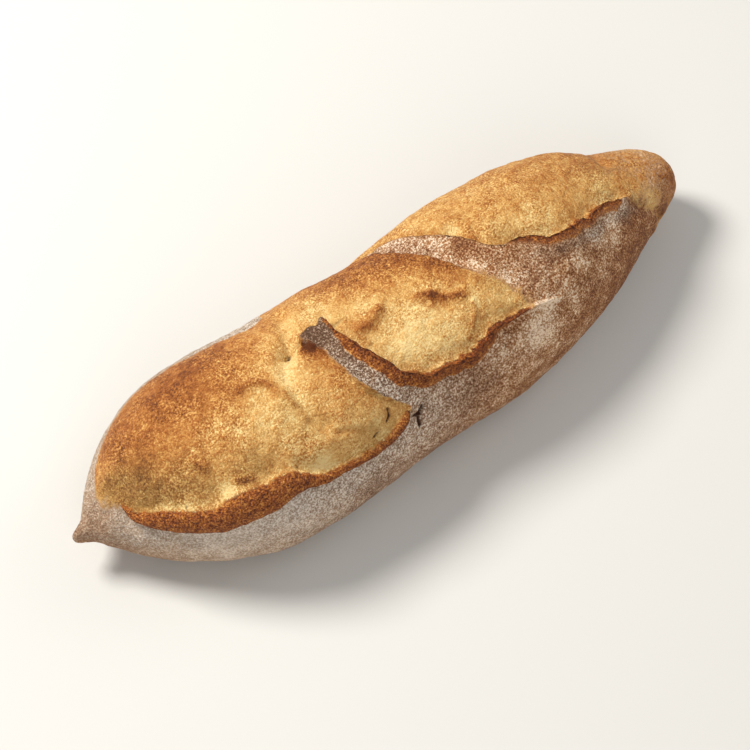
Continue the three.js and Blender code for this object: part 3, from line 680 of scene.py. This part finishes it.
# Widths of the toasted bands under the three lips, and where along its lip each one shows.
BAND_1, BAND_2, BAND_3 = 10.5, 4.8, 3.5
BAND_START, BAND_FUZZ, BAND_1_FUZZ = (-0.3, 0.25), 0.5, 0.2  # in mm, but for band 1 a share of its width
ACROSS_2, ACROSS_3 = 0.7, 0.8  # how far towards the light side the bands of crests 2 and 3 run
CREST_WRAP = 1.3  # how far the bands of crests 2 and 3 reach over the crest onto the wall behind it: the ear's browned underside with painted shade
WALL_BEHIND_CREST = 0.5  # the tone of what they cover there
BAND_2_SHOWS = [(0, 0.4), (0.05, 0.4), (0.14, 1), (0.7, 1), (0.78, 0.7), (0.85, 0.35), (0.9, 0), (1, 0)]
BAND_3_SHOWS = [
    (0, 0), (0.46, 0), (0.58, 0.8), (0.64, 0.9), (0.75, 1.1), (0.8, 0.85), (0.86, 1.1), (0.92, 0.8),
    (0.95, 0), (1, 0),
]
BAND_3_FADE, BAND_3_FADE_MIDDLE = 0.32, 0.3  # the share of its tone that band 3 loses, and its middle too


def band_share(depth, width, fuzz=BAND_FUZZ):
    """1 from just inside a torn edge to the band's full width, where it ends in a fuzzy border."""
    return ramp(depth, *BAND_START) * (1 - ramp(depth, width - fuzz, width + BAND_FUZZ))


def band_fields(lips):
    """How deep a place is in each lip's toasted band, and how far across the band it lies."""
    rim, crest_2, crest_3 = lips["rim_1"], lips["crest_2"], lips["crest_3"]
    below_2, below_3 = -crest_2["distance"], -crest_3["distance"]
    width_1, width_2 = BAND_1 * rim["spread"], BAND_2 * crest_2["spread"]
    shows_2 = smooth_table(BAND_2_SHOWS)(crest_2["place"])
    shows_3 = smooth_table(BAND_3_SHOWS)(crest_3["place"])
    band_1 = band_share(rim["distance"], width_1, BAND_1_FUZZ * width_1)
    band_1 *= fade_at_ends(rim["place"], 0.02, 0.02)
    band_2 = band_share(CREST_WRAP + below_2, CREST_WRAP + width_2 * np.minimum(1, 1.2 * shows_2))
    band_3 = band_share(CREST_WRAP + below_3, CREST_WRAP + BAND_3 * shows_3)
    band_2 *= ramp(shows_2, 0, 0.4)
    band_3 *= ramp(shows_3, 0, 0.7) * (1 - BAND_3_FADE * ramp(below_3, 0.3, 1.5))
    band_3 *= 1 - BAND_3_FADE_MIDDLE * ramp(below_3, 0.5, 2.5) * bell(crest_3["place"] - 0.75, 0.14)
    across = np.where(band_1 > 0, rim["distance"] / width_1, below_2 / width_2 * ACROSS_2)
    across = np.where(band_3 > 0, below_3 / BAND_3 * ACROSS_3, across)
    across = np.where(np.maximum(below_2, below_3) < -0.3, WALL_BEHIND_CREST, across)
    return np.maximum(np.maximum(band_1, band_2), band_3), np.clip(across, 0, 1)


def bloom_share(sites, bloom_12, bloom_3):
    """Above 0 where the torn-open crumb shows and below 0 on the skin: mm from the edge between them."""
    far_side = ramp(sites.angle, *FAR_SIDE_ANGLES) * ramp(sites.x, *FAR_SIDE_LENGTHS)
    ragged = FAR_RAGGEDNESS * far_side * speckle(sites.points, FAR_RAG_SIZE, 3)
    bulb = SkinLine(ROUND_BULB, closed=True).depth_inside(sites)
    sharp, soft = ROUND_BULB_EDGE
    bulb_edge = sharp + (soft - sharp) * ramp(sites.angle, *ROUND_BULB_EDGE_ANGLES)
    bulb_share = np.minimum(bulb * bulb_edge, ROUND_BULB_BLOOM)
    bloom_3 = np.minimum(bloom_3 + ragged, BLOOM_3_DEEPEST)
    bloom_3 -= BLOOM_3_LOSS_IN_BULB * ramp(bulb, 0, BULB_BORDER)
    return np.maximum(np.maximum(bloom_12 + ragged, bloom_3), bulb_share)


def fold_sum(folds, amounts):
    return sum(amount * folds[name] for name, amount in amounts.items())


def low_on_flank(sites):
    """1 low on the sides, 0 from the middle of the flank up."""
    return 1 - ramp(np.sin(np.radians(sites.angle)), *LOW_FLANK_SINE)


def on_grey_ear(crest_3):
    """1 on the greyish skin that stands up beside the far part of crest 3, just below its band, where painted
    shade also darkens it.
    """
    near = bell(crest_3["distance"] + GREY_EAR_BELOW_CREST, GREY_EAR_HALF_WIDTH)
    return near * ramp(crest_3["place"], *GREY_EAR_PLACES)


def toast_field(points, fields):
    """How toasted a bloom is, from pale crumb at 0 to dark brown at 1; it also carries painted shadow under
    the strap's end, and painted light in the pale patches near length -60.
    """
    rim, far_2 = fields["lips"]["rim_1"], fields["lips"]["far_edge_2"]
    strap_gap, strap_place = fields["strap_gap"], fields["strap_place"]
    first, last = UNDER_STRAP_PLACES
    toast = PLAIN_TOAST + patches(points, TOAST_PATCHES) + fold_sum(fields["folds"], FOLD_TOAST)
    # Painted shadow with toast: the bloom darkens just below the strap's free end.
    below_strap = bell(strap_gap, UNDER_STRAP_WIDTH) * (strap_gap < 0) * ramp(strap_place, 0, first)
    toast += UNDER_STRAP_TOAST_AND_SHADOW * below_strap * (1 - ramp(strap_place, first, last))
    toast += FAR_EDGE_2_TOAST * bell(far_2["distance"] + 3, 6) * fade_at_ends(far_2["place"], 0.02, 0.5)
    above_band = rim["distance"] - BAND_1 * rim["spread"] - PALE_LINE_AWAY
    pale_line = bell(above_band, PALE_LINE_HALF_WIDTH) * fade_at_ends(rim["place"], 0.1, 0.1)
    return toast - PALE_LINE * pale_line


def flour_field(sites, fields):
    """How floury the skin is, from bare dark crust at 0 to white at 1."""
    crest_2 = fields["lips"]["crest_2"]
    flour = smooth_table(FLOUR_ALONG)(sites.x) + patches(sites.points, FLOUR_PATCHES)
    flour -= STRAP_BARE * fields["on_strap"] * (1 - fields["strap_place"])
    flour -= TORN_END_BARE * fields["torn_end"]
    flour += PALE_CREASE_FLOUR * fields["folds"]["pale_crease"]
    flour -= GREY_EAR_SHADE * on_grey_ear(fields["lips"]["crest_3"]) + LOW_FLANK_DARKER * low_on_flank(sites)
    # Painted shade: a darker strip on the skin just below the band of crest 2.
    below_band = -crest_2["distance"] - BAND_2 * crest_2["spread"] - SHADE_LINE_AWAY
    shade_line = bell(below_band, SHADE_LINE_HALF_WIDTH) * smooth_table(BAND_2_SHOWS)(crest_2["place"])
    return flour - SHADE_LINE * shade_line


def warmth_field(sites, fields):
    """How warm the skin's tone is, from grey at 0 to pinkish brown at 1."""
    warmth = smooth_table(WARMTH_ALONG)(sites.x) + patches(sites.points, WARMTH_PATCHES)
    return (
        warmth + LOW_FLANK_WARMTH * low_on_flank(sites)
        - GREY_EAR_COOLNESS * on_grey_ear(fields["lips"]["crest_3"])
    )


def dark_line(line, distance):
    darkness, half_width = line
    return darkness * bell(distance, half_width)


def char_and_shade_field(points, fields):
    """How dark a place is: the crests' own char with painted shade, and painted shade in cracks, the hollow,
    pores and under the strap's edge.
    """
    crest_2, crest_3 = fields["lips"]["crest_2"], fields["lips"]["crest_3"]
    strap_gap, strap_place = fields["strap_gap"], fields["strap_place"]
    char_and_shade = fold_sum(fields["folds"], FOLD_SHADE) + patches(points, PORES)
    char_and_shade += dark_line(CREST_2_CHAR_AND_SHADE, crest_2["distance"]) * smooth_table(BAND_2_SHOWS)(crest_2["place"])
    char_and_shade += dark_line(CREST_3_CHAR_AND_SHADE, crest_3["distance"]) * fade_at_ends(crest_3["place"], 0.5, 0.05)
    char_and_shade += dark_line(STRAP_EDGE_SHADOW, strap_gap + 0.5) * fade_at_ends(strap_place, 0.01, 0.3)
    return np.clip(char_and_shade, 0, 1)


def colour_fields(sites, fields):
    """The values that the material reads at each point of the mesh."""
    points, far_2 = sites.points, fields["lips"]["far_edge_2"]
    band, across = band_fields(fields["lips"])
    coarse = smooth_table(COARSE_ALONG)(sites.x)
    coarse += STRAP_COARSENESS * (fields["on_strap"] + fields["torn_end"])
    softness = np.clip(patches(points, SOFT_PATCHES), 0, SOFTEST)
    return dict(
        bloom=fields["bloom"] * (1 - softness), band=band, across=across, coarse=coarse,
        toast=toast_field(points, fields), flour=flour_field(sites, fields),
        warmth=warmth_field(sites, fields), char_and_shade=char_and_shade_field(points, fields),
        olive_shade=np.clip(patches(points, OLIVE_SHADE_PATCHES), 0, 1),
        brown_line=dark_line(BROWN_LINE, far_2["distance"] + 0.2)
        * fade_at_ends(far_2["place"], *BROWN_LINE_FADES),
    )


# ---------- The crust piece ----------

def crust_piece():
    lengths, angles = ring_lengths(), ring_angles()
    x, angle = (grid.ravel() for grid in np.meshgrid(lengths, angles, indexing="ij"))
    sites = Sites(x, angle)
    draw_to_edges(sites, len(angles))
    points, height, fields = crust(sites)
    rings, around = len(lengths), len(angles)
    tips = skin_point([POINTED_END, ROUND_END], 0)
    vertices = np.vstack([points, tips])
    middle = (vertices.min(0) + vertices.max(0)) / 2
    origin = np.array([middle[0], middle[1], vertices[:, 2].min()])
    faces = np.concatenate([grid_faces(height, rings, around), tip_faces(rings, around)])

    mesh = bpy.data.meshes.new("crust")
    mesh.from_pydata((vertices - origin) * MM, [], faces.tolist())
    mesh.polygons.foreach_set("use_smooth", np.ones(len(faces), bool))
    for name, values in colour_fields(sites, fields).items():
        layer = mesh.attributes.new(name, "FLOAT", "POINT")
        layer.data.foreach_set("value", np.concatenate([values, values[[0, -1]]]).astype(np.float32))
    mesh.update()
    piece = bpy.data.objects.new("crust", mesh)
    bpy.context.scene.collection.objects.link(piece)
    return piece, origin


# ---------- Material ----------

def linear(r, g, b):
    """A screen colour of 0 to 255 as the light values that a shader takes."""
    channels = [c / 255 for c in (r, g, b)]
    return tuple(c / 12.92 if c <= 0.04045 else ((c + 0.055) / 1.055) ** 2.4 for c in channels) + (1.0,)


class Nodes:
    """Short ways to add the nodes of one material."""

    def __init__(self, name):
        self.material = bpy.data.materials.new(name)
        self.material.use_nodes = True
        self.tree = self.material.node_tree
        self.shader = self.tree.nodes["Principled BSDF"]
        self.place = self.add("ShaderNodeTexCoord").outputs["Object"]

    def add(self, kind, **settings):
        node = self.tree.nodes.new(kind)
        for key, value in settings.items():
            setattr(node, key, value)
        return node

    def feed(self, socket, value):
        if isinstance(value, bpy.types.NodeSocket):
            self.tree.links.new(value, socket)
        else:
            socket.default_value = value

    def attribute(self, name):
        return self.add("ShaderNodeAttribute", attribute_name=name).outputs["Fac"]

    def noise(self, size_mm, octaves, roughness, distortion=0.0):
        node = self.add("ShaderNodeTexNoise")
        self.feed(node.inputs["Vector"], self.place)
        self.feed(node.inputs["Scale"], 1 / (size_mm * MM))
        self.feed(node.inputs["Detail"], octaves)
        self.feed(node.inputs["Roughness"], roughness)
        self.feed(node.inputs["Distortion"], distortion)
        return node.outputs["Fac"]

    def thin_lines(self, noise, half_width):
        """1 along the lines where a noise passes its middle, 0 away from them."""
        away = self.maths("ABSOLUTE", self.maths("SUBTRACT", noise, 0.5))
        return self.maths("SUBTRACT", 1.0, self.step(away, 0.0, half_width))

    def maths(self, operation, a, b=0.0, c=0.0):
        node = self.add("ShaderNodeMath", operation=operation)
        for socket, value in zip(node.inputs, (a, b, c)):
            self.feed(socket, value)
        return node.outputs[0]

    def step(self, value, low, high):
        node = self.add("ShaderNodeMapRange", interpolation_type="SMOOTHSTEP")
        self.feed(node.inputs["Value"], value)
        self.feed(node.inputs["From Min"], low)
        self.feed(node.inputs["From Max"], high)
        return node.outputs["Result"]

    def scaled(self, value, factor, offset):
        return self.maths("MULTIPLY_ADD", value, factor, offset)

    def jitter(self, value, noise, amount):
        """value plus noise that swings by amount to both sides."""
        return self.scaled(self.scaled(noise, 2, -1), amount, value)

    def jitters(self, value, marks, amounts):
        """value with one jitter after another, each by the mark of that name."""
        for name, amount in amounts.items():
            value = self.jitter(value, marks[name], amount)
        return value

    def plus(self, value, marks, amounts):
        """value plus marks of 0 to 1, each times its amount."""
        for name, amount in amounts.items():
            value = self.scaled(marks[name], amount, value)
        return value

    def colours(self, value, stops):
        node = self.add("ShaderNodeValToRGB")
        elements = node.color_ramp.elements
        while len(elements) < len(stops):
            elements.new(0.5)
        for element, (position, colour) in zip(elements, stops):
            element.position = position
            element.color = linear(*colour)
        self.feed(node.inputs["Fac"], value)
        return node.outputs["Color"]

    def mix(self, share, a, b):
        node = self.add("ShaderNodeMix", data_type="RGBA")
        self.feed(node.inputs["Factor"], share)
        self.feed(node.inputs["A"], a)
        self.feed(node.inputs["B"], b)
        return node.outputs["Result"]

    def bump(self, height_mm):
        node = self.add("ShaderNodeBump")
        self.feed(node.inputs["Height"], height_mm)
        self.feed(node.inputs["Distance"], MM)
        return node.outputs["Normal"]


BLOOM_COLOURS = [
    (0.0, (248, 216, 150)), (0.2, (234, 188, 116)), (0.42, (210, 152, 82)), (0.62, (184, 116, 54)),
    (0.82, (148, 82, 34)), (1.0, (104, 54, 24)),
]
# The bloom's colours where it lies in painted shade.
OLIVE_SHADE_COLOURS = [
    (0.0, (224, 196, 132)), (0.25, (200, 158, 94)), (0.5, (172, 126, 66)), (0.8, (136, 88, 40)),
    (1.0, (98, 58, 28)),
]
GREY_SKIN_COLOURS = [
    (0.0, (92, 66, 48)), (0.22, (124, 97, 76)), (0.45, (154, 128, 106)), (0.7, (186, 165, 145)),
    (1.0, (232, 219, 206)),
]
WARM_SKIN_COLOURS = [
    (0.0, (110, 58, 26)), (0.22, (146, 84, 41)), (0.45, (174, 118, 70)), (0.7, (206, 158, 113)),
    (1.0, (250, 224, 194)),
]
BAND_COLOURS = [
    (0.0, (74, 32, 14)), (0.3, (130, 66, 28)), (0.55, (164, 92, 40)), (0.8, (198, 128, 58)),
    (1.0, (224, 166, 92)),
]
# The darkest tone, for the crests' own char and for painted shade.
CHAR_AND_SHADE_COLOUR = (66, 34, 18)
BROWN_LINE_COLOUR = (142, 84, 38)

# The noises that mark the crust: size in mm, octaves, roughness.
GRAIN, MOTTLE, BLOTCH, CLOUD = (0.8, 3, 0.7), (2.6, 4, 0.65), (7.0, 4, 0.6), (24.0, 3, 0.5)
FINE_LINES, SPECKS, ROUGH_PATCHES = (2.4, 1, 0.5), (1.5, 1, 0.5), (13.0, 2, 0.5)
LINE_DISTORTION, LINE_HALF_WIDTH = 1.2, 0.045
ROUGHNESS, SPECULAR = (0.5, 0.75), 0.22  # roughness runs between two values with the mottle

# How far each mark swings a tone to both sides, or what it adds to it.
TOAST_SWINGS = dict(mottle=0.34, patch=0.08, cloud=0.1)
TOAST_MARKS = dict(lines=0.13, dark_specks=0.2, pale_specks=-0.2)
OLIVE_SHADE_SWINGS = dict(blotch=0.4, cloud=0.3)
BAND_SWINGS = dict(grain=0.32, mottle=0.6)
TORN_EDGE_SWINGS = dict(blotch=0.8, mottle=0.5)
BAND_EDGE_SWINGS = dict(blotch=0.35, mottle=0.4, grain=0.15)
# The same where it grows with another field: how much it grows, and its least value.
TOAST_GRAIN, FLOUR_GRAIN, FLOUR_MOTTLE, FLOUR_PATCH = (0.16, 0.1), (0.3, 0.08), (0.24, 0.2), (0.13, 0.02)
FLOUR_CLOUD, FLOUR_LINES, WARMTH_BLOTCH = 0.14, -0.1, 0.3
ACROSS_TONE, BAND_LINES = (0.5, 0.22), -0.15
EVEN_STEP, TORN_EDGE_STEP, BAND_EDGE_STEP = (0.36, 0.64), (-0.25, 0.35), (0.3, 0.7)
BROWN_LINE_STEP, CHAR_AND_SHADE_STEP, DARK_LINE_MOTTLE = (0.2, 0.9), (0.3, 1.0), 0.5
# Heights in mm of the crust's finest relief.
BUMP_MM = dict(mottle=1.3, grain=0.26, blotch=1.5, lines=-0.12)


def markings(n):
    blotch, specks = n.noise(*BLOTCH), n.noise(*SPECKS)
    return dict(
        grain=n.step(n.noise(*GRAIN), *EVEN_STEP), mottle=n.noise(*MOTTLE),
        blotch=blotch, patch=n.step(blotch, *EVEN_STEP), cloud=n.noise(*CLOUD),
        lines=n.thin_lines(n.noise(*FINE_LINES, LINE_DISTORTION), LINE_HALF_WIDTH),
        pale_specks=n.maths("SUBTRACT", 1.0, n.step(specks, 0.27, 0.36)),
        dark_specks=n.step(specks, 0.66, 0.75),
        roughly=n.step(n.noise(*ROUGH_PATCHES), 0.35, 0.65),  # where the grain shows strongly
    )


def bloom_colour(n, marks):
    toast = n.jitter(n.attribute("toast"), marks["grain"], n.scaled(marks["roughly"], *TOAST_GRAIN))
    toast = n.plus(n.jitters(toast, marks, TOAST_SWINGS), marks, TOAST_MARKS)
    # Painted shade: the olive tones darken the bloom where it lies in shade.
    olive_shade = n.step(n.jitters(n.attribute("olive_shade"), marks, OLIVE_SHADE_SWINGS), 0.0, 1.0)
    return n.mix(olive_shade, n.colours(toast, BLOOM_COLOURS), n.colours(toast, OLIVE_SHADE_COLOURS))


def skin_colour(n, marks):
    coarse, warmth = n.attribute("coarse"), n.attribute("warmth")
    flour = n.jitter(n.attribute("flour"), marks["grain"], n.scaled(coarse, *FLOUR_GRAIN))
    flour = n.jitter(flour, marks["mottle"], n.scaled(coarse, *FLOUR_MOTTLE))
    flour = n.jitter(flour, marks["patch"], n.scaled(warmth, *FLOUR_PATCH))
    flour = n.scaled(marks["lines"], FLOUR_LINES, n.jitter(flour, marks["cloud"], FLOUR_CLOUD))
    warmth = n.jitter(warmth, marks["blotch"], WARMTH_BLOTCH)
    return n.mix(warmth, n.colours(flour, GREY_SKIN_COLOURS), n.colours(flour, WARM_SKIN_COLOURS))


def band_colour(n, marks):
    across = n.scaled(marks["lines"], BAND_LINES, n.scaled(n.attribute("across"), *ACROSS_TONE))
    return n.colours(n.jitters(across, marks, BAND_SWINGS), BAND_COLOURS)


def crust_material():
    n = Nodes("crust")
    marks = markings(n)
    mottle = marks["mottle"]
    torn = n.step(n.jitters(n.attribute("bloom"), marks, TORN_EDGE_SWINGS), *TORN_EDGE_STEP)
    in_band = n.step(n.jitters(n.attribute("band"), marks, BAND_EDGE_SWINGS), *BAND_EDGE_STEP)
    brown_line = n.step(n.jitter(n.attribute("brown_line"), mottle, DARK_LINE_MOTTLE), *BROWN_LINE_STEP)
    # Char and painted shade: cracks, pores, the crests' edges and the shadow under the strap.
    charred_and_shaded = n.step(n.jitter(n.attribute("char_and_shade"), mottle, DARK_LINE_MOTTLE), *CHAR_AND_SHADE_STEP)
    colour = n.mix(torn, skin_colour(n, marks), bloom_colour(n, marks))
    colour = n.mix(in_band, colour, band_colour(n, marks))
    colour = n.mix(brown_line, colour, linear(*BROWN_LINE_COLOUR))
    colour = n.mix(charred_and_shaded, colour, linear(*CHAR_AND_SHADE_COLOUR))
    n.feed(n.shader.inputs["Base Color"], colour)

    smoothest, roughest = ROUGHNESS
    n.feed(n.shader.inputs["Roughness"], n.scaled(mottle, roughest - smoothest, smoothest))
    n.feed(n.shader.inputs["Specular IOR Level"], SPECULAR)
    n.feed(n.shader.inputs["Normal"], n.bump(n.plus(0.0, marks, BUMP_MM)))
    return n.material


FLOOR_COLOUR, FLOOR_ROUGHNESS = (208, 206, 202), 0.9


def floor_material():
    n = Nodes("floor")
    n.feed(n.shader.inputs["Base Color"], linear(*FLOOR_COLOUR))
    n.feed(n.shader.inputs["Roughness"], FLOOR_ROUGHNESS)
    return n.material


# ---------- Studio ----------

CAMERA_AZIMUTH = -36.7  # degrees round the loaf from straight in front of it
CAMERA_ELEVATION = 60.0
CAMERA_DISTANCE = 1.0
CAMERA_TARGET_MM = np.array([-13.0, -10.6, 32.0])  # in the loaf's own millimetres
LENS, SENSOR = 117.84, 36.0
FLOOR_HALF_SIZE = 3.0
SOFTBOX_TARGET = (0, 0, 0.03)
# Name, place, width, power, colour.
SOFTBOXES = [
    ("key", (-0.45, 0.75, 1.1), 0.5, 24.6, (1.0, 0.98, 0.93)),
    ("fill", (-0.6, -1.1, 0.9), 1.2, 6.6, (1.0, 0.99, 0.97)),
    ("side", (1.2, -0.2, 0.8), 0.9, 4.2, (1.0, 0.98, 0.95)),
]
SURROUND_COLOUR, SURROUND_STRENGTH = (1, 1, 1, 1), 0.33


def aim(obj, place, target):
    obj.location = place
    obj.rotation_euler = (Vector(target) - Vector(place)).to_track_quat("-Z", "Y").to_euler()
    bpy.context.scene.collection.objects.link(obj)
    return obj


def camera(origin):
    data = bpy.data.cameras.new("camera")
    data.lens = LENS
    data.sensor_width = SENSOR
    data.clip_start = 0.01
    azimuth, elevation = math.radians(CAMERA_AZIMUTH), math.radians(CAMERA_ELEVATION)
    level = math.cos(elevation)
    out = Vector((level * math.sin(azimuth), -level * math.cos(azimuth), math.sin(elevation)))
    target = Vector((CAMERA_TARGET_MM - origin) * MM)
    place = target + CAMERA_DISTANCE * out
    bpy.context.scene.camera = aim(bpy.data.objects.new("camera", data), place, target)


def softbox(name, place, size, power, colour):
    light = bpy.data.lights.new(name, "AREA")
    light.shape = "DISK"
    light.size = size
    light.energy = power
    light.color = colour
    aim(bpy.data.objects.new(name, light), place, SOFTBOX_TARGET)


def floor():
    half = FLOOR_HALF_SIZE
    mesh = bpy.data.meshes.new("floor")
    corners = [(-half, -half, 0), (half, -half, 0), (half, half, 0), (-half, half, 0)]
    mesh.from_pydata(corners, [], [(0, 1, 2, 3)])
    mesh.materials.append(floor_material())
    obj = bpy.data.objects.new("floor", mesh)
    bpy.context.scene.collection.objects.link(obj)


def studio(origin):
    floor()
    camera(origin)
    for settings in SOFTBOXES:
        softbox(*settings)
    world = bpy.data.worlds.new("world")
    world.use_nodes = True
    background = world.node_tree.nodes["Background"]
    background.inputs["Color"].default_value = SURROUND_COLOUR
    background.inputs["Strength"].default_value = SURROUND_STRENGTH
    bpy.context.scene.world = world
    bpy.context.scene.view_settings.view_transform = "Standard"


# ---------- The scene ----------

loaf, loaf_origin = crust_piece()
loaf.data.materials.append(crust_material())
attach(loaf, "root")
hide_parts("loaf")
studio(loaf_origin)
